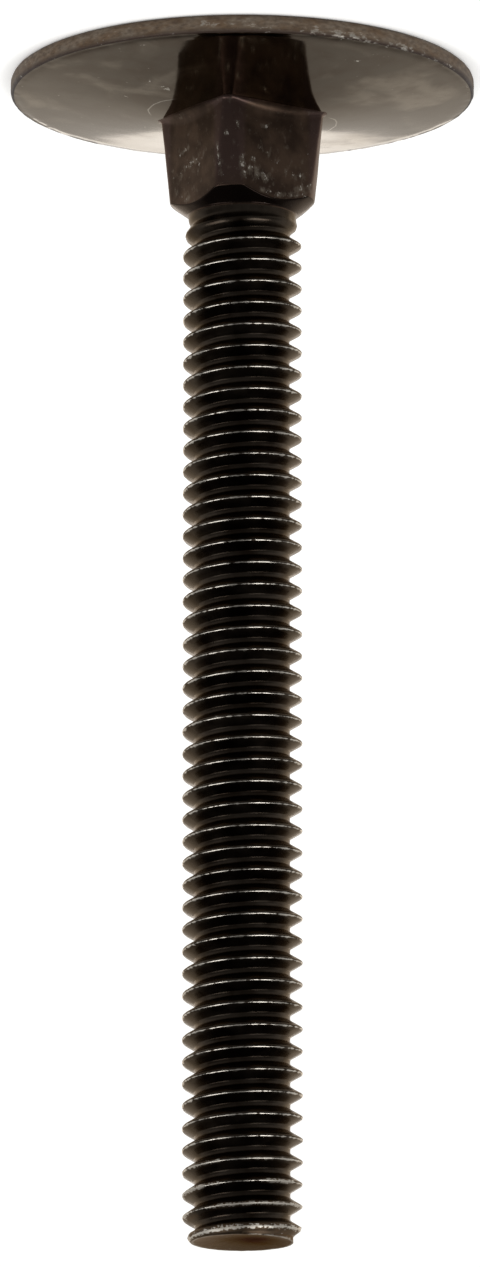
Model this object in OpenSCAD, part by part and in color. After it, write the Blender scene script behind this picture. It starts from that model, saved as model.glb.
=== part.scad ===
// Flat-head elevator bolt, 5/16-18 UNC x 3 in, black oxide steel, forged and rolled in one piece.
// It stands on the flat face of its head: the origin is the centre of that face and Z runs
// along the shank to the point. All sizes are in millimetres and degrees.

/* [Head] */
// Diameter of the round flat head
head_d = 29.7; // [28:0.1:32]
// Height of the head's outer wall, rounded edges included
rim_h = 1.2; // [1:0.05:1.6]
// Radius of the edge between the flat face and the wall
face_edge_r = 0.45; // [0.2:0.05:0.5]
// Radius of the edge between the wall and the sloped underside
under_edge_r = 0.25; // [0.1:0.05:0.4]
// Slope of the underside from the flat face
under_slope = 8.5; // [6:0.5:12]

/* [Square neck] */
// Width across the flats where the neck leaves the head
neck_flats = 7.8; // [7.6:0.05:8.6]
// Draft of each flat, from the forging die
flat_draft = 0.5; // [0:0.25:3]
// Width across the blunt corners where the neck leaves the head
neck_corners = 10.45; // [9.8:0.05:10.8]
// Width across the blunt corners at the far end of the neck
neck_tip_corners = 9.24; // [8.6:0.02:9.6]
// Height from the flat face to the far end of the corners
neck_end = 8.3; // [7.4:0.1:9]
// Height of the cone that draws the neck in to the shank
neck_cone = 0.85; // [0.5:0.05:1]

/* [Shank] */
// Overall length, flat face to point
bolt_length = 75.5; // [40:0.5:100]
// Diameter of the blank between the neck and the thread
blank_d = 6.9; // [6.7:0.05:7.2]
// Diameter over the thread crests
thread_d = 7.6; // [7.6:0.02:7.9]
// Height from the flat face to the first full thread
thread_from = 11.2; // [10.6:0.1:20]
// Height over which the crests grow out of the blank
runout = 1.6; // [1:0.1:1.6]
// Length of the bevelled point
point_h = 1.2; // [0.5:0.05:1.5]
// Diameter of the end face
point_d = 6.4; // [5.6:0.1:6.6]
// Depth of the hollow that rolling leaves in the end face
hollow = 0.25; // [0.05:0.05:0.4]

/* [Thread] */
// Plain cylinder at the crests, or the cut of a right-hand Unified thread
thread_form = "plain"; // [plain, helical]
// Threads per inch
threads_per_inch = 18; // [18, 24]
// Flat steps in one turn of the helical form
turn_steps = 24; // [16:4:24]

/* [Hidden] */

BLACK_OXIDE = [0.17, 0.155, 0.145];
ROUND = 180;      // steps of the large round parts
FINE = 48;        // steps of the edge roundings
CUTTER = 20;      // larger than any width of the neck
OVERLAP = 0.4;    // how far stacked pieces run into each other
STEP_LIMIT = 1580; // most steps in the whole helix

head_r = head_d / 2;
// where the underside leaves its rounded edge: the cone is tangent there
slope_r = head_r - under_edge_r + under_edge_r * sin(under_slope);
slope_z = rim_h - under_edge_r + under_edge_r * cos(under_slope);
function underside_z(r) = slope_z + (slope_r - r) * tan(under_slope);
neck_z = underside_z(neck_corners / 2);
// corner radius carried down to the wall's top, so the neck starts inside the head
corner_draft = (neck_corners - neck_tip_corners) / 2 / (neck_end - neck_z);
neck_root_r = neck_corners / 2 + (neck_z - rim_h) * corner_draft;
shank_z = neck_end + neck_cone;

pitch = 25.4 / threads_per_inch;
crest_r = thread_d / 2;
// Unified form: sharp triangle height 0.866 pitch, root rounded off at a quarter of it
basic_r = 7.9375 / 2;
root_r = basic_r - pitch * sqrt(3) / 2 * (1 - 1 / 8 - 1 / 6);
crest_flat = pitch / 8 + 2 * (basic_r - crest_r) * tan(30);
flank = (crest_r - root_r) * tan(30);
point_z = bolt_length - point_h;

module head() {
    color(BLACK_OXIDE)
    rotate_extrude($fn = ROUND) {
        square([head_r - face_edge_r, rim_h - under_edge_r]);
        translate([0, face_edge_r]) square([head_r, rim_h - face_edge_r - under_edge_r]);
        translate([head_r - face_edge_r, face_edge_r]) circle(face_edge_r, $fn = FINE);
        translate([head_r - under_edge_r, rim_h - under_edge_r]) circle(under_edge_r, $fn = FINE);
        polygon([
            [0, rim_h - under_edge_r], [head_r - under_edge_r, rim_h - under_edge_r],
            [slope_r, slope_z], [0, underside_z(0)]
        ]);
    }
}

// Four drafted flats cut from a cone whose skin stays as the blunt corners
module square_neck() {
    color(BLACK_OXIDE)
    difference() {
        rotate_extrude($fn = ROUND)
            polygon([
                [0, rim_h], [neck_root_r, rim_h], [neck_tip_corners / 2, neck_end],
                [blank_d / 2, shank_z], [0, shank_z]
            ]);
        for (side = [0:90:270])
            rotate([0, 0, side]) translate([neck_flats / 2, 0, neck_z]) rotate([0, -flat_draft, 0])
                translate([0, -CUTTER / 2, -CUTTER / 2]) cube(CUTTER);
    }
}

// Blank between the neck and the thread, run into both
module blank() {
    color(BLACK_OXIDE)
    translate([0, 0, neck_end])
        cylinder(d = blank_d, h = thread_from - runout - neck_end + OVERLAP, $fn = ROUND);
}

// Crests as one true cylinder, with the runout above the neck and the bevel at the point
module plain_thread() {
    color(BLACK_OXIDE) {
        translate([0, 0, thread_from - runout])
            cylinder(d1 = blank_d, d2 = thread_d, h = runout, $fn = ROUND);
        translate([0, 0, thread_from])
            cylinder(d = thread_d, h = point_z - thread_from, $fn = ROUND);
        translate([0, 0, point_z]) cylinder(d1 = thread_d, d2 = point_d, h = point_h, $fn = ROUND);
    }
}

// Radius of the crest at height z: grows out of the blank and is turned down at the point
function crest_at(z) = max(root_r + 0.02, min(
    crest_r,
    root_r + (crest_r - root_r) * (z - thread_from + runout) / runout,
    crest_r + (point_d / 2 - crest_r) * (z - point_z) / point_h
));

// Right-hand helix: four points a step (root, crest, crest, root), closed by two end rings
module helical_thread() {
    z0 = thread_from - runout - pitch;
    // fewer steps a turn on a long fine thread, so that the solid stays light
    n = min(turn_steps, floor(STEP_LIMIT * pitch / (bolt_length - z0)));
    steps = floor((bolt_length - pitch - z0) / pitch * n);
    z1 = z0 + steps * pitch / n;
    at = function (r, i, z) [r * cos(360 * i / n), r * sin(360 * i / n), z];
    thread = [for (i = [0:steps]) let (z = z0 + i * pitch / n, r = crest_at(z)) each [
        at(root_r, i, z), at(r, i, z + (r - root_r) / (crest_r - root_r) * flank),
        at(r, i, z + 2 * flank + crest_flat - (r - root_r) / (crest_r - root_r) * flank),
        at(root_r, i, z + 2 * flank + crest_flat)
    ]];
    low = len(thread);
    high = low + n;
    turned = steps % n;
    ends = [
        for (i = [0:n - 1]) at(root_r, i, z0 - pitch / 2),
        for (i = [0:n - 1]) at(min(root_r, point_d / 2), i, bolt_length)
    ];
    color(BLACK_OXIDE)
    polyhedron(
        points = concat(thread, ends),
        faces = [
            for (i = [0:steps - 1], j = [0:2]) [4 * i + j, 4 * i + j + 1, 4 * i + j + 5, 4 * i + j + 4],
            for (i = [0:steps - n - 1]) [4 * i + 3, 4 * (i + n), 4 * (i + n + 1), 4 * i + 7],
            for (i = [0:n - 2]) [low + i, 4 * i, 4 * i + 4, low + i + 1],
            [low + n - 1, 4 * (n - 1), 4 * n, 3, 0, low],
            [0, 3, 2, 1],
            [for (i = [0:n - 1]) low + i],
            for (i = [0:n - 2]) let (k = steps - n + i, a = (turned + i) % n, b = (a + 1) % n)
                [4 * k + 3, high + a, high + b, 4 * k + 7],
            let (k = steps - 1, a = (turned + n - 1) % n)
                [4 * k + 3, high + a, high + turned, 4 * (steps - n) + 3, 4 * steps, 4 * steps + 3],
            [for (j = [0:3]) 4 * steps + j],
            [for (i = [n - 1:-1:0]) high + i]
        ]
    );
}

module elevator_bolt() {
    difference() {
        union() {
            head();
            square_neck();
            blank();
            if (thread_form == "plain") plain_thread();
            else helical_thread();
        }
        translate([0, 0, bolt_length - hollow])
            cylinder(r1 = 0.6, r2 = point_d / 2 - 0.35, h = hollow + OVERLAP, $fn = ROUND);
    }
}

elevator_bolt();
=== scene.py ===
"""Flat-head elevator bolt, 5/16-18 UNC x 3 in: black oxide steel with a rolled right-hand thread."""

import math

import bmesh
import bpy
from bpy.props import FloatProperty, IntProperty, PointerProperty, StringProperty
from mathutils import Matrix, Vector, geometry, noise


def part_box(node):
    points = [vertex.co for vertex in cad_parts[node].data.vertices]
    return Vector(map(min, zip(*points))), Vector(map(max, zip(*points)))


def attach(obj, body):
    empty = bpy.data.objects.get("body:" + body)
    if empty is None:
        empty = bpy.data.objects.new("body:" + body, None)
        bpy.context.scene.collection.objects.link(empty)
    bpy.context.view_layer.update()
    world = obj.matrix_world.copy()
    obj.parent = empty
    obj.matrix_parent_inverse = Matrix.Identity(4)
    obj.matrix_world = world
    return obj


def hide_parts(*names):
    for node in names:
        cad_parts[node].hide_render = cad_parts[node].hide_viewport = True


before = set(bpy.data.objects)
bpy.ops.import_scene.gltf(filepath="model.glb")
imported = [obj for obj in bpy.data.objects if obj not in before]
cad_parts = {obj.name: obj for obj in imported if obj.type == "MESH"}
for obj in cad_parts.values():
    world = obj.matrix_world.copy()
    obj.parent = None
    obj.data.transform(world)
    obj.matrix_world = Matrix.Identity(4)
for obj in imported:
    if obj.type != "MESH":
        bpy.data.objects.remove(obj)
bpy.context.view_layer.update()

bl_info = {
    "name": "Elevator bolt",
    "version": (1, 0, 0),
    "blender": (4, 5, 0),
    "location": "3D View > Sidebar > Bolt",
    "description": "Flat-head elevator bolt with a square neck and a rolled thread",
    "category": "Add Mesh",
}

NODE = "elevator_bolt"
MM = 0.001
BOLT_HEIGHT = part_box(NODE)[1][2] / MM
HEAD_DIAMETER = (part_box(NODE)[1][0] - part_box(NODE)[0][0]) / MM


# ---- sizes and looks a user may change


def size(name, description, default, low, high):
    """A length in millimetres, as the CAD source gives it."""
    return FloatProperty(name=name, description=description, default=default, min=low, max=high, precision=3)


class BoltSizes(bpy.types.PropertyGroup):
    """Sizes of the forged head and neck and of the rolled thread, in millimetres and degrees."""

    head_d: size("Head diameter", "Diameter of the flat round head, mm", HEAD_DIAMETER, 20, 40)
    rim_h: size("Rim height", "Height of the head's outer wall, mm", 1.2, 0.8, 2)
    face_edge: size("Face edge", "Radius of the edge round the flat face, mm", 0.45, 0.1, 0.6)
    under_edge: size("Underside edge", "Radius of the edge between wall and underside, mm", 0.25, 0.1, 0.5)
    under_slope: FloatProperty(name="Underside slope", default=math.radians(8.5), subtype="ANGLE",
                               description="Slope of the underside from the flat face")
    neck_flats: size("Neck flats", "Width across the flats at the head, mm", 7.8, 7, 9)
    flat_draft: FloatProperty(name="Flat draft", description="Draft of each flat of the neck",
                              default=math.radians(0.5), subtype="ANGLE")
    neck_corners: size("Neck corners", "Width across the blunt corners at the head, mm", 10.45, 9, 11)
    tip_corners: size("Neck tip corners", "Width across the blunt corners at their far end, mm", 9.24, 8, 10)
    neck_end: size("Neck end", "Height of the far end of the corners, mm", 8.3, 7, 10)
    neck_cone: size("Neck cone", "Height of the cone from the corners to the shank, mm", 0.85, 0.4, 1)
    blank_d: size("Blank", "Diameter of the shank between neck and thread, mm", 6.9, 6, 7.5)
    crest_d: size("Crests", "Diameter over the thread's crests, mm", 7.6, 7, 8)
    root_d: size("Roots", "Diameter at the bottom of the thread's roots, mm", 6.0, 5.8, 6.6)
    pitch: size("Pitch", "Distance from crest to crest, mm", 25.4 / 18, 1, 2)
    length: size("Length", "Height from the flat face to the point, mm", BOLT_HEIGHT, 40, 100)
    steps: IntProperty(name="Steps a turn", description="Flat steps in one turn of the thread", default=96)


class BoltFinish(bpy.types.PropertyGroup):
    """Colours of the black oxide and of what shows through it, as sRGB hex."""

    oxide: StringProperty(name="Oxide", description="Black oxide under a film of oil", default="#4A423A")
    haze: StringProperty(name="Haze", description="Oxide where the oil is wiped to a haze", default="#857B6E")
    # also the colour of the painted shade on the rim's rounding towards the underside
    burnt_and_shade: StringProperty(name="Burnt oxide", description="Darkest, reddish oxide", default="#3A2B21")
    scale: StringProperty(name="Scale", description="Brown forging scale on the rim", default="#705B46")
    sheared: StringProperty(name="Sheared end", description="Sheen of the cropped end", default="#A48C74")
    steel: StringProperty(name="Bare steel", description="Steel where the oxide is rubbed off",
                          default="#CFC9BE")


class StudioSettings(bpy.types.PropertyGroup):
    """Floor, lamps and camera. A lamp's level is how bright it looks, where 1 is white."""

    left_level: FloatProperty(name="Left box", description="Level of the left soft box", default=2.65)
    right_level: FloatProperty(name="Right box", description="Level of the right soft box", default=3.35)
    strip_level: FloatProperty(name="Strip", description="Level of the low strip behind the bolt",
                               default=1.06)
    ambient: FloatProperty(name="Ambient", description="Level of the light from all round", default=0.78)
    distance: FloatProperty(name="Distance", description="Level distance from camera to bolt",
                            default=0.63344, unit="LENGTH")
    height: FloatProperty(name="Height", description="Height of the camera", default=0.18225, unit="LENGTH")
    aside: FloatProperty(name="Aside", description="Offset of the camera to its left", default=0.00015,
                         unit="LENGTH")
    lens: FloatProperty(name="Lens", description="Focal length", default=292.0, unit="CAMERA")
    pitch: FloatProperty(name="Pitch", description="How far the camera looks down",
                         default=math.radians(12.96), subtype="ANGLE")
    azimuth: FloatProperty(name="Azimuth", description="Turn of the camera from the -Y side towards +X",
                           default=math.radians(34.7), subtype="ANGLE")


# ---- helpers


def linear(hex_colour):
    """sRGB hex to the linear colour that the shaders take."""
    parts = [int(hex_colour[i:i + 2], 16) / 255 for i in (1, 3, 5)]
    return tuple(c / 12.92 if c <= 0.04045 else ((c + 0.055) / 1.055) ** 2.4 for c in parts) + (1.0,)


def add(tree, kind, inputs=(), points=None, **settings):
    """Adds a node, sets its properties, links or sets its inputs by place or name, and bends its curve."""
    node = tree.nodes.new(kind)
    for key, value in settings.items():
        setattr(node, key, value)
    for key, value in inputs.items() if isinstance(inputs, dict) else enumerate(inputs):
        if isinstance(value, bpy.types.Node):
            value = value.outputs[0]
        if isinstance(value, bpy.types.NodeSocket):
            tree.links.new(value, node.inputs[key])
        else:
            node.inputs[key].default_value = value
    if points:
        bend(node.mapping, points)
    return node


def bend(mapping, points):
    """Lays a curve's mapping through the given points, with straight runs between them."""
    curve = mapping.curves[0]
    curve.points[0].location, curve.points[-1].location = points[0], points[-1]
    for point in points[1:-1]:
        curve.points.new(*point)
    for point in curve.points:
        point.handle_type = "VECTOR"
    mapping.update()


def put(name, data):
    """A new object at the origin, linked to the scene."""
    thing = bpy.data.objects.new(name, data)
    bpy.context.scene.collection.objects.link(thing)
    return thing


def lerp(a, b, t):
    return a + (b - a) * t


def ease(t):
    t = min(1.0, max(0.0, t))
    return t * t * (3 - 2 * t)


# ---- rolled thread (Geometry Nodes)

MATH = "ShaderNodeMath"
VECTOR = "ShaderNodeVectorMath"
RANGE = "ShaderNodeMapRange"
CURVE = "ShaderNodeFloatCurve"

SEAM = 2e-6  # m, points nearer than this are sewn together
PROFILE_STEPS = 14
ROOT_FLAT = 0.08  # mm, half width of the flat at the root
ROOT_ARC = 0.15  # mm, radius from the root's flat to the flank
CREST_ARC = 0.12  # mm, radius of the crest's two corners
RING_Z = 9.27  # mm, where the thread's mesh takes over from the neck's
POINT_R = 3.2  # mm, radius of the end ring that the thread runs into
BEVEL_H = 1.3  # mm, length of the rounded point
BATTERED = 6  # mm, length at the end over which the crests are knocked flat
# hollow of the end face, as (radius, drop), mm
HOLLOW = (
    (POINT_R, 0), (3.12, 0.002), (3.0, 0.02), (2.8, 0.055),
    (2.5, 0.105), (2.1, 0.15), (1.6, 0.185), (0.8, 0.21),
)
# how far the last roots are filled, from the end down to the bevel's foot, where 1 is out to the end ring
MASHED = [(0, 1), (0.12, 1.35), (0.25, 1.2), (0.45, 0.4), (0.65, 0)]
ROOTS_DEEP = 10.7  # mm, height at which the roots reach their full depth
CRESTS_FROM, CRESTS_FULL = 9.27, 11.5  # mm, heights between which the crests grow out of the blank
CREST_PHASE = 0.43  # mm, height of a crest at azimuth 0, less whole pitches
# rubbing of the crest by nuts and other bolts, from root to root: most on the corner nearer the point
RUBBED = (0, 0, 0, 0, 0.3, 0.55, 0.45, 0.4, 0.7, 1, 0.8, 0, 0, 0, 0)


def thread_profile(pitch, depth):
    """A 60 degree thread, root to root, as (share of pitch, share of depth)."""
    tan30 = math.tan(math.radians(30))
    half = [(0, 0)]
    for turn in (math.radians(20), math.radians(60)):
        half.append((ROOT_FLAT + ROOT_ARC * math.sin(turn), ROOT_ARC * (1 - math.cos(turn))))
    x, y = half[-1]
    flank_top = depth - CREST_ARC / 2
    run = (flank_top - y) * tan30
    half += [(x + run / 2, (y + flank_top) / 2), (x + run, flank_top)]
    half += [(x + run + CREST_ARC * (math.sin(math.radians(60)) - math.sin(math.radians(a))),
              depth - CREST_ARC * (1 - math.cos(math.radians(a)))) for a in (30, 0)]
    half.append((pitch / 2, depth))
    shares = [(px / pitch, py / depth) for px, py in half]
    return shares + [(1 - px, py) for px, py in reversed(shares[:-1])]


def thread_tree(material, sizes):
    """Geometry Nodes tree: a grid wound into a helix, one pitch wide, sewn to itself turn by turn."""
    tree = bpy.data.node_groups.new("Rolled thread", "GeometryNodeTree")
    tree.is_modifier = True
    tree.interface.new_socket("Geometry", in_out="INPUT", socket_type="NodeSocketGeometry")
    tree.interface.new_socket("Geometry", in_out="OUTPUT", socket_type="NodeSocketGeometry")
    depth = (sizes.crest_d - sizes.root_d) / 2
    low = RING_Z - sizes.pitch - (RING_Z - sizes.pitch - CREST_PHASE + sizes.pitch / 2) % sizes.pitch
    values = {
        "Pitch": sizes.pitch * MM, "Root radius": sizes.root_d / 2 * MM, "Depth": depth * MM,
        "Blank radius": sizes.blank_d / 2 * MM, "Low end": low * MM, "Ring height": RING_Z * MM,
        "Length": sizes.length * MM, "Point radius": POINT_R * MM,
        "Bevel curve": (sizes.crest_d / 2 - POINT_R) * MM / math.sqrt(BEVEL_H * MM),
        "Roots deep": ROOTS_DEEP * MM, "Crests from": CRESTS_FROM * MM, "Crests full": CRESTS_FULL * MM,
        "Turns": math.ceil((sizes.length - low) / sizes.pitch) + 1, "Steps a turn": sizes.steps,
    }
    for name, value in values.items():
        kind = "NodeSocketInt" if isinstance(value, int) else "NodeSocketFloat"
        tree.interface.new_socket(name, in_out="INPUT", socket_type=kind)
    given = add(tree, "NodeGroupInput").outputs
    profile = thread_profile(sizes.pitch, depth)
    spots = [i / PROFILE_STEPS for i in range(PROFILE_STEPS + 1)]

    # a flat grid: one column a step round the bolt, one row a point of the profile
    stations = add(tree, MATH, (given["Turns"], given["Steps a turn"]), operation="MULTIPLY")
    grid = add(tree, "GeometryNodeMeshGrid", {
        "Size X": stations, "Size Y": float(PROFILE_STEPS),
        "Vertices X": add(tree, MATH, (stations, 1.0), operation="ADD"), "Vertices Y": PROFILE_STEPS + 1})
    place = add(tree, "ShaderNodeSeparateXYZ", [add(tree, "GeometryNodeInputPosition")]).outputs
    station = add(tree, MATH, [add(tree, MATH, (stations, 0.5, place[0]), operation="MULTIPLY_ADD")],
                  operation="ROUND")
    across = add(tree, MATH, (place[1], 1 / PROFILE_STEPS, 0.5), operation="MULTIPLY_ADD")
    along = add(tree, CURVE, {"Value": across}, [(s, p[0]) for s, p in zip(spots, profile)])
    height = add(tree, CURVE, {"Value": across}, [(s, p[1]) for s, p in zip(spots, profile)])
    rubbed = add(tree, CURVE, {"Value": across}, list(zip(spots, RUBBED)))

    # its height on the bolt, held between the neck's ring and the end face
    turn = add(tree, MATH, (station, given["Steps a turn"]), operation="DIVIDE")
    climbed = add(tree, MATH, (turn, along), operation="ADD")
    raw_z = add(tree, MATH, (climbed, given["Pitch"], given["Low end"]), operation="MULTIPLY_ADD")
    z = add(tree, "ShaderNodeClamp", (raw_z, given["Ring height"], given["Length"]))

    # its radius: the blank, cut down into roots and raised into crests, then turned down at the point
    cut = add(tree, MATH, (height, given["Depth"], given["Root radius"]), operation="MULTIPLY_ADD")
    off_blank = add(tree, MATH, (cut, given["Blank radius"]), operation="SUBTRACT")
    sunk = add(tree, RANGE, (z, given["Ring height"], given["Roots deep"]), interpolation_type="SMOOTHSTEP")
    raised = add(tree, RANGE, (z, given["Crests from"], given["Crests full"]),
                 interpolation_type="SMOOTHSTEP")
    with_root = add(tree, MATH, (add(tree, MATH, (off_blank, 0.0), operation="MINIMUM"), sunk,
                                 given["Blank radius"]), operation="MULTIPLY_ADD")
    with_crest = add(tree, MATH, (add(tree, MATH, (off_blank, 0.0), operation="MAXIMUM"), raised, with_root),
                     operation="MULTIPLY_ADD")
    to_end = add(tree, MATH, (given["Length"], z), operation="SUBTRACT")
    bevel = add(tree, MATH, (add(tree, MATH, [to_end], operation="SQRT"), given["Bevel curve"],
                             given["Point radius"]), operation="MULTIPLY_ADD")
    cropped = add(tree, MATH, (with_crest, bevel), operation="MINIMUM")
    # the crop has mashed the last roots shut
    near = add(tree, RANGE, (to_end, 0, BEVEL_H * MM))
    filled = add(tree, CURVE, {"Value": near}, MASHED)
    closed = add(tree, RANGE, (filled, 0, 1, given["Root radius"], given["Point radius"]), clamp=False)
    radius = add(tree, MATH, (cropped, closed), operation="MAXIMUM")

    # wound round the axis
    share = add(tree, MATH, [turn], operation="FRACT")
    angle = add(tree, MATH, (share, math.tau), operation="MULTIPLY")
    beside = add(tree, "ShaderNodeCombineXYZ", {0: radius, 2: z})
    wound = add(tree, "ShaderNodeVectorRotate", {"Vector": beside, "Angle": angle}, rotation_type="Z_AXIS")
    rub = add(tree, MATH, (rubbed, raised), operation="MULTIPLY")
    for name, value in (("rubbed", rub), ("crest", height)):
        grid = add(tree, "GeometryNodeStoreNamedAttribute", {"Geometry": grid, "Name": name, "Value": value},
                   data_type="FLOAT", domain="POINT")
    moved = add(tree, "GeometryNodeSetPosition", {"Geometry": grid, "Position": wound})
    sewn = add(tree, "GeometryNodeMergeByDistance", {"Geometry": moved, "Distance": SEAM})
    real = add(tree, "GeometryNodeRealizeInstances", {"Geometry": sewn})
    done = add(tree, "GeometryNodeSetMaterial", {"Geometry": real, "Material": material})
    add(tree, "NodeGroupOutput", [done])
    return tree, values


def roll_thread(material, sizes):
    """Runs the thread's tree and returns its plain mesh."""
    tree, values = thread_tree(material, sizes)
    holder = put("thread_holder", bpy.data.meshes.new("thread_holder"))
    modifier = holder.modifiers.new("Thread", "NODES")
    modifier.node_group = tree
    for item in tree.interface.items_tree:
        if item.item_type == "SOCKET" and item.in_out == "INPUT" and item.name in values:
            modifier[item.identifier] = values[item.name]
    evaluated = holder.evaluated_get(bpy.context.evaluated_depsgraph_get())
    mesh = bpy.data.meshes.new_from_object(evaluated)
    bpy.data.objects.remove(holder)
    bpy.data.node_groups.remove(tree)
    return mesh


# ---- forged head and square neck

QUADRANT = 48  # columns in a quarter turn of the head and neck
CORNER = 5  # columns from the middle of a blunt corner to its edge
UNDER_RINGS = 28
SIDE_RINGS = 30
CONE_RINGS = 4
UNDER_DISH = 0.055  # mm, how far the underside dips below a straight cone between rim and neck
FOOT_R, FOOT_CORNER_R = 0.75, 0.35  # mm, fillet where the flats and the corners leave the head
TIP_R = 0.14  # mm, rounding where the flats run into the end cone
SHANK_R = 0.2  # mm, fillet from the end cone to the shank
FACE_R = 13.6  # mm, ring of the flat face next to its rounded edge
CORNER_SHARPNESS = 22  # per mm, the higher the crisper the edge between flat and corner
CROWDING = 1.25  # how strongly the flats' columns crowd towards the corners
HALVINGS = 30  # of a span, to find where two surfaces meet
FOOT_LOW, HEAD_TOP = 1.5, 4  # mm, heights that the neck's foot lies between, the second above all the head
TIP_LOW = 0.5  # mm, how far below the corners' end the search for the cone's edge starts


def softened(a, b, sharpness):
    """Smaller of two lengths, with the edge between them rounded as by wear."""
    return min(a, b) - math.log1p(math.exp(-sharpness * abs(a - b))) / sharpness


def arc(corner, toward_a, toward_b, radius, steps):
    """Points of the arc that rounds a corner between two directions, in the plane of (r, z)."""
    a, b = Vector(toward_a).normalized(), Vector(toward_b).normalized()
    half = a.angle(b) / 2
    centre = Vector(corner) + (a + b).normalized() * (radius / math.sin(half))
    reach = radius / math.tan(half)
    start, end = Vector(corner) + a * reach - centre, Vector(corner) + b * reach - centre
    turn = math.atan2(start.x * end.y - start.y * end.x, start.dot(end))
    spokes = [Matrix.Rotation(turn * i / steps, 2) @ start for i in range(steps + 1)]
    return [tuple(centre + spoke) for spoke in spokes]


class NeckForm:
    """The neck's drafted flats, blunt corners and end cone, as radius by height and angle."""

    def __init__(self, sizes):
        self.s = sizes
        self.tan_slope = math.tan(sizes.under_slope)
        self.slope_r, self.slope_z = sizes.head_d / 2, sizes.rim_h
        self.span = self.slope_r - sizes.neck_corners / 2
        self.neck_z = self.under_z(sizes.neck_corners / 2)
        self.corner_draft = (sizes.neck_corners - sizes.tip_corners) / 2 / (sizes.neck_end - self.neck_z)

    def under_z(self, r):
        share = (self.slope_r - r) / self.span
        return self.slope_z + (self.slope_r - r) * self.tan_slope - 4 * UNDER_DISH * share * (1 - share)

    def under_way(self, r):
        """Direction of the underside towards the axis, as (r, z)."""
        share = (self.slope_r - r) / self.span
        return -1, self.tan_slope - 4 * UNDER_DISH * (1 - 2 * share) / self.span

    def flat(self, z):
        return self.s.neck_flats / 2 - (z - self.neck_z) * math.tan(self.s.flat_draft)

    def corner(self, z):
        return self.s.neck_corners / 2 - (z - self.neck_z) * self.corner_draft

    def cone(self, z):
        return lerp(self.s.tip_corners, self.s.blank_d, (z - self.s.neck_end) / self.s.neck_cone) / 2

    def angle(self, column, z):
        """Angle of a column: columns follow the edges of the blunt corners and crowd towards them."""
        z = min(z, self.s.neck_end)
        edge = math.radians(45) - math.acos(self.flat(z) / self.corner(z))
        quarter, step = divmod(column, QUADRANT)
        step -= QUADRANT // 2
        offset = edge * abs(step) / CORNER
        if abs(step) > CORNER:
            share = (abs(step) - CORNER) / (QUADRANT // 2 - CORNER)
            offset = edge + (math.radians(45) - edge) * share ** CROWDING
        return math.radians(45 + 90 * quarter) + math.copysign(offset, step)

    def side(self, column, z):
        """Radius of the neck's side: flats between softened blunt corners."""
        off = (self.angle(column, z) + math.pi / 4) % (math.pi / 2) - math.pi / 4
        return softened(self.flat(z) / math.cos(off), self.corner(z), CORNER_SHARPNESS)

    def meet(self, column, past, low, high):
        """Height where the side meets another surface, given the test of being past it."""
        for _ in range(HALVINGS):
            middle = (low + high) / 2
            if past(self.side(column, middle), middle):
                high = middle
            else:
                low = middle
        return (low + high) / 2


def head_profile(sizes):
    """Flat face and the rim, rounded into the face and into the underside, as (r, z)."""
    head_r, form = sizes.head_d / 2, NeckForm(sizes)
    rim = arc((head_r, form.under_z(head_r)), (0, -1), form.under_way(head_r), sizes.under_edge, 7)
    return (
        [(FACE_R, 0.0)]
        + arc((head_r, 0), (-1, 0), (0, 1), sizes.face_edge, 6)
        + [(head_r, lerp(sizes.face_edge, rim[0][1], t)) for t in (0.25, 0.5, 0.75)]
        + rim
        + [(r, form.under_z(r)) for r in (rim[-1][0] - 0.12, rim[-1][0] - 0.25)]
    )


def forged_rings(sizes):
    """Rings of (r, z, angle), one entry a column, from the rim over the neck to the blank."""
    form = NeckForm(sizes)
    columns = range(QUADRANT * 4)
    even = [math.tau * column / len(columns) for column in columns]
    edge_r = head_profile(sizes)[-1][0]
    blank_r, shank_z = sizes.blank_d / 2, sizes.neck_end + sizes.neck_cone
    cone_way = (blank_r - sizes.tip_corners / 2, sizes.neck_cone)
    # the last but one ring lies against the fillet, so that the mirror stays flat up to it
    ways = [i / UNDER_RINGS for i in range(1, UNDER_RINGS)] + [0.996, 1]
    strips = []
    for column in columns:
        foot_z = form.meet(column, lambda r, z: z > form.under_z(r), FOOT_LOW, HEAD_TOP)
        tip_z = form.meet(column, lambda r, z: r > form.cone(z), sizes.neck_end - TIP_LOW, shank_z)
        draft = (form.side(column, tip_z) - form.side(column, foot_z)) / (tip_z - foot_z)
        foot_r = form.side(column, foot_z)
        cornered = ease((foot_r - form.flat(foot_z)) / (form.corner(foot_z) - form.flat(foot_z)))
        foot = arc((foot_r, foot_z), -Vector(form.under_way(foot_r)), (draft, 1),
                   lerp(FOOT_R, FOOT_CORNER_R, cornered), 6)
        tip = arc((form.side(column, tip_z), tip_z), (-draft, -1), cone_way, TIP_R, 3)
        root = arc((blank_r, shank_z), (-cone_way[0], -cone_way[1]), (0, 1), SHANK_R, 4)
        strip = []
        for t in ways:
            r = lerp(edge_r, foot[0][0], t)
            strip.append((r, form.under_z(r) if t < 1 else foot[0][1],
                          lerp(even[column], form.angle(column, foot_z), ease(t))))
        strip += [(r, z, form.angle(column, z)) for r, z in foot[1:]]
        for i in range(1, SIDE_RINGS):
            z = lerp(foot[-1][1], tip[0][1], i / SIDE_RINGS)
            strip.append((form.side(column, z), z, form.angle(column, z)))
        strip += [(r, z, form.angle(column, z)) for r, z in tip]
        down = [(lerp(tip[-1][0], root[0][0], i / CONE_RINGS), lerp(tip[-1][1], root[0][1], i / CONE_RINGS))
                for i in range(1, CONE_RINGS)] + root
        start = form.angle(column, tip_z)
        strip += [(r, z, lerp(start, even[column], (i + 1) / len(down))) for i, (r, z) in enumerate(down)]
        strips.append(strip)
    return [list(ring) for ring in zip(*strips)]


def lay_ring(bm, ring):
    return [bm.verts.new((r * math.cos(a) * MM, r * math.sin(a) * MM, z * MM)) for r, z, a in ring]


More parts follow.
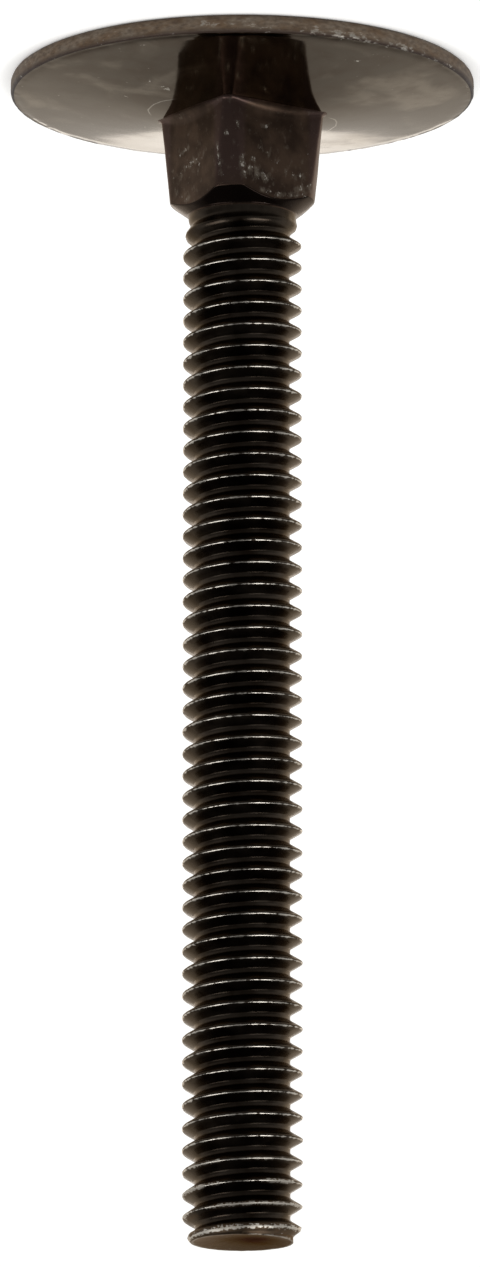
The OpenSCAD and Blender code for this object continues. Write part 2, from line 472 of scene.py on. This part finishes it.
def lay_circle(bm, r, z, columns):
    return lay_ring(bm, [(r, z, math.tau * i / columns) for i in range(columns)])


def join_rings(bm, low, high):
    """Faces between two rings of as many columns, or of which one has half as many."""
    if len(low) < len(high):
        low, high = high, low
    count, ratio = len(low), len(low) // len(high)
    for i in range(0, count, ratio):
        j, k = (i + ratio) % count, i // ratio
        after = high[(k + 1) % len(high)]
        if ratio == 1:
            bm.faces.new((low[i], low[j], after, high[i]))
            continue
        bm.faces.new((low[i], low[i + 1], high[k]))
        bm.faces.new((low[i + 1], after, high[k]))
        bm.faces.new((low[i + 1], low[j], after))


def join_all(bm, rings):
    for low, high in zip(rings, rings[1:]):
        join_rings(bm, low, high)


def close_ring(bm, ring, height):
    """Fan from a ring to a point on the axis."""
    hub = bm.verts.new((0, 0, height * MM))
    for a, b in zip(ring, ring[1:] + ring[:1]):
        bm.faces.new((hub, a, b))


def bolt_mesh(thread, sizes):
    """Forged head and neck, rolled thread and cropped end, sewn into one closed mesh."""
    bm = bmesh.new()
    bm.from_mesh(thread)
    face = [lay_circle(bm, r, 0, QUADRANT * 4) for r in (2, 4, 6, 8, 10, 12)]
    rim = [lay_circle(bm, r, z, QUADRANT * 8) for r, z in head_profile(sizes)]
    neck = [lay_ring(bm, ring) for ring in forged_rings(sizes)]
    close_ring(bm, face[0], 0)
    join_all(bm, face + rim + neck + [lay_circle(bm, sizes.blank_d / 2, RING_Z, sizes.steps)])
    # cropped end: a thin raised lip round a shallow hollow
    end = [lay_circle(bm, r, sizes.length - drop, sizes.steps) for r, drop in HOLLOW]
    join_all(bm, end)
    close_ring(bm, end[-1], sizes.length - HOLLOW[-1][1])
    bmesh.ops.remove_doubles(bm, verts=bm.verts, dist=SEAM)
    bmesh.ops.dissolve_degenerate(bm, edges=bm.edges, dist=1e-6)
    bmesh.ops.recalc_face_normals(bm, faces=bm.faces)
    return bm


# ---- wear in the shape

UNDER, RIM, NECK, THREAD, END = range(5)

# scuffs as (start, end, half width, depth of rubbing), mm
SCUFFS = (
    ((2.7, -3.9, 6.5), (2.4, -3.9, 7.8), 0.22, 0.8),
    ((2.5, -3.9, 7.0), (0.6, -3.9, 7.7), 0.38, 0.9),
    ((1.8, -3.9, 6.5), (1.6, -3.9, 6.7), 0.15, 1.1),
    ((1.4, -3.9, 5.6), (-0.1, -3.9, 6.4), 0.17, 0.7),
    ((-0.9, -3.9, 7.0), (-2.1, -3.9, 7.1), 0.30, 0.55),
    ((-1.6, -3.9, 8.0), (-2.6, -3.9, 7.7), 0.28, 0.8),
    ((1.2, -3.9, 8.4), (-0.1, -3.9, 8.5), 0.15, 0.8),
    ((-0.1, -3.9, 8.5), (-2.3, -3.9, 8.3), 0.17, 1.0),
    ((1.2, -3.9, 4.3), (0.7, -3.9, 4.2), 0.14, 0.9),
    ((3.9, 1.4, 5.4), (3.9, 0.5, 5.1), 0.15, 1.0),
    ((3.9, 0.9, 6.3), (3.9, -0.8, 6.2), 0.32, 0.7),
    ((3.9, -0.7, 6.2), (3.9, -0.6, 6.9), 0.20, 0.8),
    ((3.9, 2.3, 6.4), (3.9, 1.2, 6.8), 0.25, 0.5),
    ((3.9, 2.1, 7.9), (3.9, 0.5, 8.4), 0.35, 0.45),
    ((4.0, -2.8, 5.4), (3.7, -3.1, 8.2), 0.17, 1.3),
    ((3.3, -3.6, 2.9), (3.0, -3.8, 4.5), 0.16, 1.3),
    ((2.8, -3.9, 6.7), (2.5, -4.1, 8.2), 0.16, 1.1),
    ((3.6, -3.4, 4.9), (3.6, -3.4, 5.0), 0.14, 1.2),
    ((4.8, -14.0, 1.0), (1.4, -14.7, 1.05), 0.30, 1.0),
    ((1.4, -14.7, 1.05), (-2.5, -14.5, 1.05), 0.26, 0.9),
    ((-2.5, -14.5, 1.05), (-7.0, -13.0, 1.1), 0.22, 0.9),
    ((-7.0, -13.0, 1.1), (-12.0, -8.6, 1.1), 0.18, 0.7),
    ((10.5, -10.4, 0.6), (7.0, -13.0, 0.9), 0.25, 0.7),
    ((2.5, -12.0, 1.6), (2.1, -12.0, 1.6), 0.30, 0.8),
    ((1.1, -11.9, 1.6), (0.9, -11.8, 1.6), 0.30, 0.6),
    ((0.2, -11.7, 1.6), (-0.8, -11.9, 1.6), 0.22, 0.8),
    ((-0.8, -13.0, 1.4), (-2.0, -13.2, 1.4), 0.25, 0.9),
    ((8.5, -2.2, 2.1), (7.0, -2.0, 2.3), 0.50, 0.5),
    ((12.1, -6.6, 1.3), (11.7, -7.0, 1.3), 0.35, 0.6),
    ((3.1, -1.7, 75.0), (2.3, -2.7, 75.0), 0.30, 0.9),
    ((1.5, -3.2, 74.9), (0.0, -3.5, 74.9), 0.35, 0.5),
    ((0.0, -3.5, 75.2), (-2.3, -2.6, 75.1), 0.30, 0.7),
)

# oil wiped to a haze, in the same form
SMEARS = (
    ((10.5, 7.8, 1.5), (6.0, 6.6, 2.0), 2.0, 0.4),
    ((-9.0, 7.0, 1.8), (-11.0, 3.0, 1.8), 2.2, 0.8),
    ((-4.0, -9.0, 2.0), (-9.0, -8.0, 1.6), 2.2, 1.2),
)

# long round scratches on the underside: centre, radius, the side they are on and how far out they start
ARCS = (
    ((2.97, 0.61, 2.5), 3.20, (0.98, 0.18, 0), 2.3),
    ((-2.90, 0.30, 2.5), 3.80, (-0.99, -0.1, 0), 1.9),
)

FACE_H = 0.5  # mm, height up to which the flat face and its rounded edge reach
FACE_SCALE = 0.52  # mm, how far the rim's scale runs in over the flat face
RIM_OVER = 0.1  # mm, how far above the wall's height the rim's rounding may reach
ON_UNDER = 0.0015  # mm, how far off the underside's surface a place on it may be
END_H, END_OVER = 0.5, 0.02  # mm, depth and slack of the end face
SCUFFED_END = 3  # mm, length at the end that scuffs reach
MASHED_END, MASHED_RUB = 1.4, 0.35  # mm, length at the end that is rubbed all round, and how much
FOOT_FROM = 2.2  # mm, above this a place may be on the neck's corners
LIP_H, LIP_R = 0.07, 3.05  # mm, height and inner radius of the lip round the end face


def zone(r, z, sizes, form):
    """Which finish a place on the bolt has."""
    inset = FACE_SCALE if z < FACE_H else sizes.under_edge
    if z < sizes.rim_h + RIM_OVER and r > sizes.head_d / 2 - inset:
        return RIM
    if z < FACE_H or z < HEAD_TOP and z < form.under_z(r) + ON_UNDER:
        return UNDER
    if z < RING_Z:
        return NECK
    if z > sizes.length - END_H and r < POINT_R + END_OVER:
        return END
    return THREAD


def near_stroke(p, strokes):
    """How deep in a stroke a point lies: the stroke's own depth at its middle, fading at its sides."""
    worn = 0.0
    for start, end, width, depth in strokes:
        near, share = geometry.intersect_point_line(p, start, end)
        if not 0 <= share <= 1:
            near = Vector(end if share > 1 else start)
        worn = max(worn, depth * math.exp(-((p - near).length / width) ** 2))
    return worn


def mark_wear(bm, sizes):
    """Attributes that the finishes read: scuffs, smears, the neck's corners and cone, and the end's lip."""
    layers = bm.verts.layers.float
    scuff, edge, trim, smear = [layers.new(name) for name in ("scuff", "edge", "trim", "smear")]
    crest = layers["crest"]
    form = NeckForm(sizes)
    neck_r = sizes.neck_flats / 2
    for vert in bm.verts:
        p = vert.co / MM
        r = math.hypot(p.x, p.y)
        if p.z < RING_Z + 0.1 or p.z > sizes.length - SCUFFED_END:
            vert[scuff] = near_stroke(p, SCUFFS) * max(0, 0.8 + noise.noise(p / 0.35))
            vert[smear] = near_stroke(p, SMEARS)
        if p.z > sizes.length - BATTERED:
            crested = ease((vert[crest] - 0.7) / 0.3) * ease((p.z - sizes.length + BATTERED) / 3)
            vert[scuff] = max(vert[scuff], 0.6 * crested * ease(0.5 + 2.5 * noise.noise(p / 1.5)))
        if p.z > sizes.length - MASHED_END and r > POINT_R - 0.01:
            vert[scuff] = max(vert[scuff], MASHED_RUB)
        if p.z > sizes.length - LIP_H and r > LIP_R:
            vert[edge] = 1
        if FOOT_FROM < p.z < sizes.neck_end and r > neck_r:
            vert[edge] = ease((r - neck_r / math.cos(math.radians(30))) / 0.25)
        if sizes.neck_end < p.z < RING_Z:
            vert[trim] = ease(2 - abs(r - form.cone(p.z)) / 0.05)


def waved(p, *waves, base=0):
    """Depth of a skin laid in waves of (depth, width), mm. A base of 1 keeps all of them inwards."""
    return sum(depth * (base + noise.noise(p / width)) for depth, width in waves)


def wear_shape(bm, sizes):
    """Moves the skin in by hundredths of a millimetre, as forging, rolling and handling leave it."""
    crest = bm.verts.layers.float["crest"]
    scuff = bm.verts.layers.float["scuff"]
    form = NeckForm(sizes)
    bm.normal_update()
    moves = []
    for vert in bm.verts:
        p = vert.co / MM
        r, z = math.hypot(p.x, p.y), p.z
        if z < 0.02 or abs(z - RING_Z) < 0.01:
            continue  # the flat face and the ring that joins neck and thread stay as they are
        where = zone(r, z, sizes, form)
        if where == RIM:
            depth = waved(p, (0.010, 2.6), (0.020, 0.8), base=1) + vert[scuff] * waved(p, (0.03, 0.5), base=1)
        elif where == UNDER:
            seam = ease((r - sizes.head_d / 2 + 0.6) / 0.3)
            depth = waved(p, (0.014, 5), (0.003, 1.6)) + seam * waved(p, (0.02, 0.9), (0.02, 0.4), base=1)
        elif where == NECK:
            depth = waved(p, (0.02, 1.8), (0.010, 0.7))
            depth += 0.05 * vert[scuff] * max(0, 0.4 + noise.noise(p / 0.45))
        elif where == END or z > sizes.length - 1.2:
            depth = waved(p, (0.010, 1.1), (0.016, 0.4), base=1)
        else:
            nick = max(0, noise.noise(p / 0.45) - 0.3)
            battered = ease((z - sizes.length + BATTERED) / 4)
            depth = vert[crest] * (waved(p, (0.012, 0.9), base=1) + 0.06 * nick)
            depth += vert[crest] * battered * waved(p, (0.03, 0.7), base=1)
        moves.append((vert, vert.normal * (depth * MM)))
    for vert, move in moves:
        vert.co -= move


# ---- finishes

NOISE = "ShaderNodeTexNoise"
COORDINATES = "ShaderNodeTexCoord"
SPLIT = "ShaderNodeSeparateXYZ"
MARK = "ShaderNodeAttribute"
MIX = "ShaderNodeMix"
SMOOTH = {"interpolation_type": "SMOOTHSTEP"}
MIX_A, MIX_B, MIX_COLOUR = 6, 7, 2  # a colour mix's two inputs and its output


def per_mm(width):
    """Scale of a pattern on Object coordinates whose features are so many millimetres wide."""
    return 1 / (width * MM)


def new_tree(name):
    """An empty material, its tree, and the place on the object that the tree's patterns are laid by."""
    material = bpy.data.materials.new(name)
    material.use_nodes = True
    tree = material.node_tree
    tree.nodes.clear()
    return material, tree, add(tree, COORDINATES).outputs["Object"]


def coated(tree, base, *coats):
    """Colour of a surface: a base, with each coat of (share, colour) laid over what is below it."""
    colour = linear(base)
    for share, coat in coats:
        mixed = add(tree, MIX, {0: share, MIX_A: colour, MIX_B: linear(coat)}, data_type="RGBA")
        colour = mixed.outputs[MIX_COLOUR]
    return colour


def skin(tree, colour, metallic, roughness, height, relief, tint):
    """The shader of a finish, with its relief in millimetres and its tint at a grazing view."""
    bump = add(tree, "ShaderNodeBump", {"Height": height, "Distance": relief * MM})
    shader = add(tree, "ShaderNodeBsdfPrincipled", {
        "Base Color": colour, "Metallic": metallic, "Roughness": roughness, "Normal": bump,
        "Specular Tint": tint})
    add(tree, "ShaderNodeOutputMaterial", [shader])


def pressed_oxide(finish):
    """Oiled black oxide over a die-pressed face: a dark warm mirror, hazed where the oil is wiped."""
    material, tree, place = new_tree("oiled_black_oxide")
    wiped = add(tree, NOISE, {"Vector": place, "Scale": per_mm(5), "Detail": 4.0, "Distortion": 0.9})
    smear = add(tree, MARK, attribute_name="smear").outputs["Fac"]
    clouds = add(tree, MATH, (smear, 0.32, wiped), operation="MULTIPLY_ADD")
    haze = add(tree, RANGE, (clouds, 0.56, 0.80, 0, 0.6), **SMOOTH)
    mottle = add(tree, NOISE, {"Vector": place, "Scale": per_mm(1.5), "Detail": 6.0})
    dull = add(tree, RANGE, (mottle, 0.42, 0.68))
    # nicks in the scuffs, and the long round scratches, drawn twice as wide as real ones
    grain = add(tree, NOISE, {"Vector": place, "Scale": per_mm(0.4), "Detail": 4.0})
    worn = add(tree, MARK, attribute_name="scuff").outputs["Fac"]
    chance = add(tree, MATH, (worn, 0.30, grain), operation="MULTIPLY_ADD")
    rubbed = add(tree, RANGE, (chance, 0.70, 0.84), **SMOOTH)
    # only above the rim: the flat face has none
    rise = add(tree, SPLIT, [place]).outputs[2]
    depth = add(tree, RANGE, (rise, 0.5 * MM, 1.0 * MM, 0, 0.4))
    for centre, radius, side, start in ARCS:
        from_centre = add(tree, VECTOR, (place, Vector(centre) * MM), operation="SUBTRACT")
        reach = add(tree, VECTOR, [from_centre], operation="LENGTH").outputs["Value"]
        along = add(tree, VECTOR, (from_centre, side), operation="DOT_PRODUCT").outputs["Value"]
        wander = add(tree, MATH, (mottle, 0.4 * MM, reach), operation="MULTIPLY_ADD")
        off = add(tree, MATH, (wander, (radius + 0.2) * MM), operation="SUBTRACT")
        apart = add(tree, MATH, [off], operation="ABSOLUTE")
        line = add(tree, RANGE, (apart, 0.02 * MM, 0.06 * MM, depth, 0))
        here = add(tree, RANGE, (along, start * MM, (start + 0.4) * MM))
        scratch = add(tree, MATH, (line, here), operation="MULTIPLY")
        rubbed = add(tree, MATH, (rubbed, scratch), operation="MAXIMUM")
    dirt = add(tree, MATH, (dull, 0.5), operation="MULTIPLY")
    colour = coated(tree, finish.oxide, (haze, finish.haze), (dirt, finish.burnt_and_shade), (rubbed, finish.steel))
    smooth = add(tree, RANGE, (haze, 0, 1, 0.07, 0.18))
    matt = add(tree, MATH, (dull, 0.03, smooth), operation="MULTIPLY_ADD")
    rough = add(tree, MATH, (rubbed, 0.25, matt), operation="MULTIPLY_ADD")
    skin(tree, colour, 1.0, rough, grain, 0.0012, linear("#FBF3E8"))
    return material


def rim_scale(finish):
    """Forging scale over a rounded edge: brown and half matt, with painted shade darkening it towards the
    underside, and rubbed silver there.
    """
    material, tree, place = new_tree("forging_scale")
    # drawn out along the rim, as the metal flowed
    drawn = add(tree, "ShaderNodeMapping", {"Vector": place, "Scale": (1, 1, 2.2)})
    patch = add(tree, NOISE, {"Vector": drawn, "Scale": per_mm(1.5), "Detail": 6.0, "Roughness": 0.6})
    grit = add(tree, NOISE, {"Vector": drawn, "Scale": per_mm(0.45), "Detail": 5.0, "Roughness": 0.55})
    rise = add(tree, SPLIT, [place]).outputs[2]
    ragged = add(tree, MATH, (grit, 0.5 * MM, rise), operation="MULTIPLY_ADD")
    # painted shade: the burnt colour darkens the up-facing rounding towards the underside, where the lamps
    # light it more; the grit rags its edge
    painted_shade = add(tree, RANGE, (ragged, 1.15 * MM, 1.45 * MM, 0, 1.0))
    worn = add(tree, MARK, attribute_name="scuff").outputs["Fac"]
    chance = add(tree, MATH, (worn, 0.26, grit), operation="MULTIPLY_ADD")
    bare = add(tree, RANGE, (chance, 0.65, 0.86, 0, 0.85))
    pale = add(tree, RANGE, (patch, 0.38, 0.62, 0, 0.6))
    pits = add(tree, RANGE, (grit, 0.36, 0.58, 0.5, 0))
    # painted shade, together with the real darker pits of the grit, both laid in the burnt colour
    shade = add(tree, MATH, (painted_shade, pits), operation="ADD", use_clamp=True)
    colour = coated(tree, finish.scale, (pale, finish.haze), (shade, finish.burnt_and_shade), (bare, finish.steel))
    metal = add(tree, RANGE, (bare, 0, 1, 0.35, 1))
    rough = add(tree, RANGE, (bare, 0, 1, 0.55, 0.36))
    skin(tree, colour, metal, rough, grit, 0.03, linear("#FFFFFF"))
    return material


def neck_oxide(finish):
    """Black oxide over a forged neck: semi-matt, purplish on the corners, with grey scuffs and specks."""
    material, tree, place = new_tree("forged_black_oxide")
    patch = add(tree, NOISE, {"Vector": place, "Scale": per_mm(1.6), "Detail": 5.0})
    # scuffs lean across the neck
    leaning = add(tree, "ShaderNodeMapping", {
        "Vector": place, "Rotation": (0, 0.6, 0), "Scale": (1.3, 1.3, 0.85)})
    cloud = add(tree, NOISE, {"Vector": leaning, "Scale": per_mm(0.5), "Detail": 5.0, "Roughness": 0.6})
    speck = add(tree, NOISE, {"Vector": leaning, "Scale": per_mm(0.17), "Detail": 3.0, "Roughness": 0.6})
    worn, corner, trim = [add(tree, MARK, attribute_name=name).outputs["Fac"]
                          for name in ("scuff", "edge", "trim")]
    clouded = add(tree, MATH, (worn, 0.34, cloud), operation="MULTIPLY_ADD")
    fog = add(tree, RANGE, (clouded, 0.58, 0.88, 0, add(tree, RANGE, (trim, 0, 1, 0.75, 0))))
    chance = add(tree, MATH, (worn, 0.24, speck), operation="MULTIPLY_ADD")
    bare = add(tree, RANGE, (chance, 0.71, 0.82), **SMOOTH)
    tone = add(tree, RANGE, (patch, 0.38, 0.62))
    blunt = add(tree, MATH, (corner, 0.8), operation="MULTIPLY")
    colour = coated(tree, "#3B2E26", (tone, "#57463A"), (blunt, "#54433F"), (trim, "#1D1512"),
                    (fog, finish.haze), (bare, finish.steel))
    matt = add(tree, RANGE, (patch, 0.3, 0.7, 0.32, 0.42))
    rough = add(tree, MATH, (trim, -0.14, matt), operation="MULTIPLY_ADD")
    relief = add(tree, MATH, (cloud, add(tree, RANGE, (trim, 0, 1, 1, 0.15))), operation="MULTIPLY")
    skin(tree, colour, 0.9, rough, relief, 0.008, linear("#F6E8DA"))
    return material


def rolled_oxide(finish):
    """Oiled black oxide over a rolled thread: nearly black flanks, crests rubbed to broken bright steel."""
    material, tree, place = new_tree("rolled_black_oxide")
    patch = add(tree, NOISE, {"Vector": place, "Scale": per_mm(1.8), "Detail": 4.0})
    grain = add(tree, NOISE, {"Vector": place, "Scale": per_mm(0.35), "Detail": 4.0})
    rubbed = add(tree, MARK, attribute_name="rubbed").outputs["Fac"]
    worn = add(tree, MARK, attribute_name="scuff").outputs["Fac"]
    chance = add(tree, MATH, (grain, 1.1, rubbed), operation="MULTIPLY_ADD")
    speck = add(tree, NOISE, {"Vector": place, "Scale": per_mm(0.17), "Detail": 3.0, "Roughness": 0.6})
    speckle = add(tree, RANGE, (speck, 0.38, 0.62, 0, 1.3))
    mashed = add(tree, MATH, (worn, speckle, chance), operation="MULTIPLY_ADD")
    bare = add(tree, RANGE, (mashed, 1.32, 1.5), **SMOOTH)
    tone = add(tree, RANGE, (patch, 0.35, 0.65))
    brown = add(tree, RANGE, (worn, 0.1, 0.7, 0, 0.8))
    colour = coated(tree, "#2E261F", (tone, finish.oxide), (brown, finish.scale), (bare, finish.steel))
    matt = add(tree, RANGE, (patch, 0.3, 0.7, 0.20, 0.34))
    rough = add(tree, MATH, (worn, 0.40, matt), operation="MULTIPLY_ADD")
    skin(tree, colour, 1.0, rough, grain, 0.004, linear("#F4E6D6"))
    return material


def cropped_steel(finish):
    """Sheared steel, thinly blackened: a dull brown dish, darkest off its middle and rubbed round its lip."""
    material, tree, place = new_tree("cropped_steel")
    patch = add(tree, NOISE, {"Vector": place, "Scale": per_mm(1.6), "Detail": 5.0})
    grain = add(tree, NOISE, {"Vector": place, "Scale": per_mm(0.3), "Detail": 5.0, "Roughness": 0.65})
    apart = add(tree, VECTOR, (place, Vector((-0.6, -0.4, BOLT_HEIGHT)) * MM), operation="SUBTRACT")
    reach = add(tree, VECTOR, [apart], operation="LENGTH").outputs["Value"]
    ragged = add(tree, MATH, (patch, 2.0 * MM, reach), operation="MULTIPLY_ADD")
    lighter = add(tree, RANGE, (ragged, 1.2 * MM, 4.6 * MM))
    nick = add(tree, MATH, (add(tree, RANGE, (grain, 0.62, 0.72, 0, 0.6)), lighter), operation="MULTIPLY")
    lip = add(tree, MARK, attribute_name="edge").outputs["Fac"]
    rubbed = add(tree, MATH, (lip, add(tree, RANGE, (grain, 0.4, 0.6, 0.2, 0.9))), operation="MULTIPLY")
    bare = add(tree, MATH, (nick, rubbed), operation="MAXIMUM")
    colour = coated(tree, finish.burnt_and_shade, (lighter, finish.scale), (bare, finish.steel))
    sheen = coated(tree, finish.sheared, (lighter, "#F2E2D0"))
    rough = add(tree, RANGE, (patch, 0.3, 0.7, 0.42, 0.54))
    skin(tree, colour, 1.0, rough, grain, 0.03, sheen)
    return material


FINISHES = (pressed_oxide, rim_scale, neck_oxide, rolled_oxide, cropped_steel)  # in the order of the zones

# ---- operators

FLOOR_R = 3  # m
FLOOR_GAP = 0.01  # mm, from the floor up to the flat face, so that the two never share a plane
FLOOR_LIFT = 0.28  # light that the floor adds for the camera alone, so that it is white but for the shadow
AIM_H = 0.035  # m, height on the bolt that the lamps face
# name, place and size of each lamp, in metres: x to the picture's left, y away from the camera
LAMPS = (
    ("left_box", (0.66, -0.39, 0.86), (0.68, 0.40)),
    ("right_box", (-0.58, -0.47, 0.86), (0.68, 0.40)),
    ("strip", (0, 1.2, 0.043), (1.6, 0.086)),
)
# how bright glossy rays find the floor, from the camera's side of the bolt to behind it
FLOOR_LEVELS = [(0, 0.18), (0.32, 0.4), (0.55, 0.5), (0.67, 0.56), (0.8, 1), (1, 1)]
# and the room behind the bolt and in front of it, from level with it to straight above
WALL_LEVELS = [(0, 0.8), (0.1, 0.74), (0.3, 0.74), (0.6, 0.5), (0.8, 0.08), (1, 0.04)]
FRONT_LEVELS = [(0, 0.12), (0.4, 0.2), (0.7, 0.15), (0.85, 0.06), (1, 0.04)]


class MESH_OT_elevator_bolt(bpy.types.Operator):
    """Forge the head and neck, roll the thread and blacken the bolt"""

    bl_idname = "mesh.elevator_bolt"
    bl_label = "Elevator bolt"

    def execute(self, context):
        sizes, finish = context.scene.bolt_sizes, context.scene.bolt_finish
        materials = [make(finish) for make in FINISHES]
        thread = roll_thread(materials[THREAD], sizes)
        if not thread.polygons:
            raise RuntimeError("the thread's tree made no faces")
        bm = bolt_mesh(thread, sizes)
        open_edges = sum(len(edge.link_faces) != 2 for edge in bm.edges)
        if open_edges:
            raise RuntimeError(f"the bolt has {open_edges} open edges")
        mark_wear(bm, sizes)
        form = NeckForm(sizes)
        for face in bm.faces:
            centre = face.calc_center_median() / MM
            face.material_index = zone(math.hypot(centre.x, centre.y), centre.z, sizes, form)
            face.smooth = True
        wear_shape(bm, sizes)
        mesh = bpy.data.meshes.new("bolt")
        bm.to_mesh(mesh)
        bm.free()
        for material in materials:
            mesh.materials.append(material)
        bolt = put("bolt", mesh)
        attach(bolt, "root")
        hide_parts(NODE)
        return {"FINISHED"}


class SCENE_OT_bolt_studio(bpy.types.Operator):
    """Lay the floor, hang the lamps and set the camera"""

    bl_idname = "scene.bolt_studio"
    bl_label = "Studio"

    def execute(self, context):
        scene, studio = context.scene, context.scene.bolt_studio
        turned = Matrix.Rotation(studio.azimuth, 4, "Z")
        behind = turned @ Vector((0, 1, 0))
        self.lay_floor(behind)
        self.light_room(scene, studio.ambient, behind)
        for lamp, level in zip(LAMPS, (studio.left_level, studio.right_level, studio.strip_level)):
            self.hang_lamp(turned, *lamp, level)
        self.hang_camera(scene, turned, studio)
        scene.view_settings.view_transform = "Standard"
        return {"FINISHED"}

    def lay_floor(self, behind):
        """Pale paper that stays white to the camera, keeps the shadow, and is shaded on the camera's side."""
        bm = bmesh.new()
        bmesh.ops.create_circle(bm, cap_ends=True, segments=96, radius=FLOOR_R,
                                matrix=Matrix.Translation((0, 0, -FLOOR_GAP * MM)))
        mesh = bpy.data.meshes.new("floor")
        bm.to_mesh(mesh)
        bm.free()
        floor = put("floor", mesh)
        material, tree, place = new_tree("pale_paper")
        path = add(tree, "ShaderNodeLightPath").outputs
        way = add(tree, VECTOR, [place], operation="NORMALIZE")
        back = add(tree, VECTOR, (way, behind), operation="DOT_PRODUCT").outputs["Value"]
        level = add(tree, CURVE, {"Value": add(tree, RANGE, (back, -1, 1))}, FLOOR_LEVELS)
        seen = add(tree, "ShaderNodeEmission", {"Strength": level})
        lift = add(tree, MATH, (path["Is Camera Ray"], FLOOR_LIFT), operation="MULTIPLY")
        paper = add(tree, "ShaderNodeAddShader", (add(tree, "ShaderNodeBsdfDiffuse", [linear("#F2F2F0")]),
                                                  add(tree, "ShaderNodeEmission", {"Strength": lift})))
        shown = add(tree, "ShaderNodeMixShader", (path["Is Glossy Ray"], paper, seen))
        add(tree, "ShaderNodeOutputMaterial", [shown])
        mesh.materials.append(material)

    def light_room(self, scene, ambient, behind):
        """White to the camera, even to matt surfaces, and to glossy ones a pale wall and a dark ceiling."""
        world = bpy.data.worlds.new("room")
        world.use_nodes = True
        scene.world = world
        tree = world.node_tree
        tree.nodes.clear()
        path = add(tree, "ShaderNodeLightPath").outputs
        way = add(tree, COORDINATES).outputs["Generated"]
        rise = add(tree, SPLIT, [way]).outputs[2]
        back = add(tree, VECTOR, (way, behind), operation="DOT_PRODUCT").outputs["Value"]
        wall = add(tree, CURVE, {"Value": rise}, WALL_LEVELS)
        front = add(tree, CURVE, {"Value": rise}, FRONT_LEVELS)
        side = add(tree, RANGE, (back, -0.2, 0.4), **SMOOTH)
        glossy = add(tree, MIX, {0: side, 2: front, 3: wall})
        lit = add(tree, MATH, (path["Is Glossy Ray"], glossy), operation="MULTIPLY")
        even = add(tree, MATH, (path["Is Diffuse Ray"], ambient, lit), operation="MULTIPLY_ADD")
        level = add(tree, MATH, (path["Is Camera Ray"], even), operation="ADD")
        add(tree, "ShaderNodeOutputWorld", [add(tree, "ShaderNodeBackground", (linear("#FFFFFF"), level))])

    def hang_lamp(self, turned, name, place, extent, level):
        light = bpy.data.lights.new(name, "AREA")
        light.shape, light.size, light.size_y = "RECTANGLE", *extent
        light.energy = level * math.pi * extent[0] * extent[1]
        lamp = put(name, light)
        lamp.visible_camera = False
        spot = turned @ Vector(place)
        aim = Vector((0, 0, AIM_H)) - spot
        lamp.matrix_world = Matrix.Translation(spot) @ aim.to_track_quat("-Z", "Y").to_matrix().to_4x4()

    def hang_camera(self, scene, turned, studio):
        """The camera hangs upside down, so that the head is at the top of the picture."""
        data = bpy.data.cameras.new("camera")
        data.sensor_width, data.lens = 36, studio.lens
        data.clip_start, data.clip_end = 0.01, 20
        camera = put("camera", data)
        c, s = math.cos(studio.pitch), math.sin(studio.pitch)
        axes = Matrix(((-1, 0, 0, 0), (0, -s, -c, 0), (0, -c, s, 0), (0, 0, 0, 1))).transposed()
        spot = Matrix.Translation((studio.aside, -studio.distance, studio.height))
        camera.matrix_world = turned @ spot @ axes
        scene.camera = camera


class VIEW3D_PT_bolt(bpy.types.Panel):
    """Sizes, finish and studio of the bolt"""

    bl_label = "Elevator bolt"
    bl_space_type = "VIEW_3D"
    bl_region_type = "UI"
    bl_category = "Bolt"

    def draw(self, context):
        for group in (context.scene.bolt_sizes, context.scene.bolt_finish, context.scene.bolt_studio):
            box = self.layout.box()
            for name in group.__annotations__:
                box.prop(group, name)
        self.layout.operator(MESH_OT_elevator_bolt.bl_idname)
        self.layout.operator(SCENE_OT_bolt_studio.bl_idname)


CLASSES = (BoltSizes, BoltFinish, StudioSettings, MESH_OT_elevator_bolt, SCENE_OT_bolt_studio, VIEW3D_PT_bolt)


def register():
    for cls in CLASSES:
        bpy.utils.register_class(cls)
    bpy.types.Scene.bolt_sizes = PointerProperty(type=BoltSizes)
    bpy.types.Scene.bolt_finish = PointerProperty(type=BoltFinish)
    bpy.types.Scene.bolt_studio = PointerProperty(type=StudioSettings)


def unregister():
    del bpy.types.Scene.bolt_sizes, bpy.types.Scene.bolt_finish, bpy.types.Scene.bolt_studio
    for cls in reversed(CLASSES):
        bpy.utils.unregister_class(cls)


def main():
    register()
    bpy.ops.mesh.elevator_bolt()
    bpy.ops.scene.bolt_studio()


if __name__ == "__main__":
    main()
